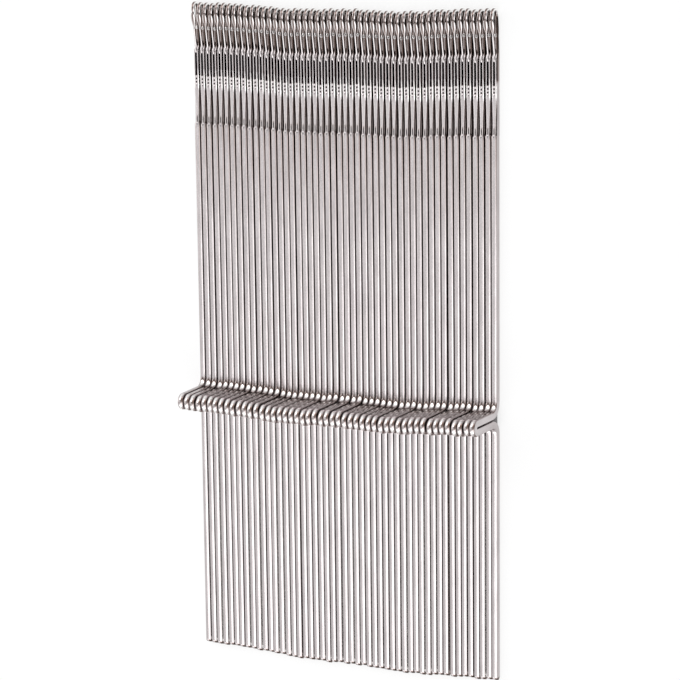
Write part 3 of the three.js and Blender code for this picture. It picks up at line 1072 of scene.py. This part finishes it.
def add_flag(name, place, target, width, height):
    """A dark card that only the metal sees."""
    mesh = bpy.data.meshes.new(name)
    w, h = width / 2, height / 2
    mesh.from_pydata([(-w, -h, 0), (w, -h, 0), (w, h, 0), (-w, h, 0)], [], [(0, 1, 2, 3)])
    material, _, shader = new_material(name)
    shader.inputs["Base Color"].default_value = (FLAG_GREY, FLAG_GREY, FLAG_GREY, 1)
    shader.inputs["Specular IOR Level"].default_value = 0.0
    mesh.materials.append(material)
    flag = add_object(name, mesh)
    aim(flag, place, target)
    flag.visible_diffuse = False
    flag.visible_shadow = False
    flag.visible_transmission = False


def make_lights():
    """Soft lamps all round, and the cards that give the metal its dark bands."""
    for name, lamp in LAMPS.items():
        add_lamp(name, *lamp)
    for name, flag in FLAGS.items():
        add_flag(name, *flag)


def make_camera(shift):
    """The photograph's view: from above the row, turned to the right and towards the hooks."""
    azimuth = math.radians(CAMERA_AZIMUTH)
    elevation = math.radians(CAMERA_ELEVATION)
    level = math.cos(elevation)
    back = Vector((math.sin(azimuth) * level, math.sin(elevation), math.cos(azimuth) * level))
    right = Vector((math.cos(azimuth), 0, -math.sin(azimuth)))
    up = back.cross(right)
    roll = math.radians(CAMERA_ROLL)
    rolled_right = math.cos(roll) * right + math.sin(roll) * up
    rolled_up = back.cross(rolled_right)
    camera_data = bpy.data.cameras.new("camera")
    camera_data.lens = CAMERA_LENS
    camera_data.sensor_width = CAMERA_SENSOR
    camera_data.clip_start, camera_data.clip_end = CAMERA_CLIP
    camera = add_object("camera", camera_data)
    turn = Matrix((rolled_right, rolled_up, back)).transposed().to_4x4()
    place = (Vector(CAMERA_AIM) + shift + back * CAMERA_DISTANCE) * MM
    camera.matrix_world = Matrix.Translation(place) @ turn
    bpy.context.scene.camera = camera


def make_needles(shift):
    """Dresses every needle with its stem, its latch and its rivet."""
    flanks = zip(FLANK_TONES, LOWER_FLANK_TONES)
    stems = [make_stem_mesh(f"stem_{i}", *pair) for i, pair in enumerate(flanks)]
    outer_stems = {
        1: make_stem_mesh("first_stem", SHANK.side, SHANK.side, outer=-1),
        NEEDLE_COUNT: make_stem_mesh("last_stem", SHANK.side, SHANK.side, outer=1),
    }
    latch = make_latch_mesh()
    rivet = make_rivet_mesh()
    steels = {slot: make_steel(slot, *finish) for slot, finish in STEELS.items()}
    rivet_place = Matrix.Translation((0, HOOK_TOP - RIVET_FROM_TOP, RIVET_HEIGHT))
    latch_place = rivet_place @ Matrix.Rotation(LATCH_ANGLE, 4, "X")
    for index in range(1, NEEDLE_COUNT + 1):
        label = f"{index:02d}"
        needle = Matrix.Translation(shift) @ needle_matrix(index)
        swings = index > NEEDLE_COUNT - SWINGING_LATCH_COUNT
        latch_body = f"latch_{label}_body" if swings else "row"
        nodes = [f"{kind}_{label}" for kind in ("stem", "latch", "rivet")]
        if not swings:
            nodes = [f"needle_{label}", None, None]
        # The stem's variant sets how much painted highlight or painted shade its sides carry
        variant = int((scatter(index, FLANK_SALT) + 0.5) * len(stems))
        wire = outer_stems.get(index, stems[variant])
        pieces = (
            ("stem_wire", wire, needle, "stem_steel", "row"),
            ("latch_blade", latch, needle @ latch_place, "latch_steel", latch_body),
            ("rivet_pin", rivet, needle @ rivet_place, "rivet_steel", "row"),
        )
        for (kind, template, matrix, slot, body), node in zip(pieces, nodes):
            name = f"{kind}_{label}"
            add_piece(name, template, matrix, steels[slot], body, node, index)


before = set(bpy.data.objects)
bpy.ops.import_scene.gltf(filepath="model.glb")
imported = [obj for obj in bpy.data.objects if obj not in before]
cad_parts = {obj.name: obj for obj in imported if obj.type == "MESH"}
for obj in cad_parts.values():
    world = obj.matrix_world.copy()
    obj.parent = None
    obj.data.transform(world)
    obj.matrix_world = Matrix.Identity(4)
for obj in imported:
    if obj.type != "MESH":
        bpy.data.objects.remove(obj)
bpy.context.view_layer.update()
bpy.context.scene.view_settings.view_transform = "Standard"

shift = row_shift()
make_needles(shift)
make_floor()
make_shade(shift)
make_world()
make_lights()
make_camera(shift)
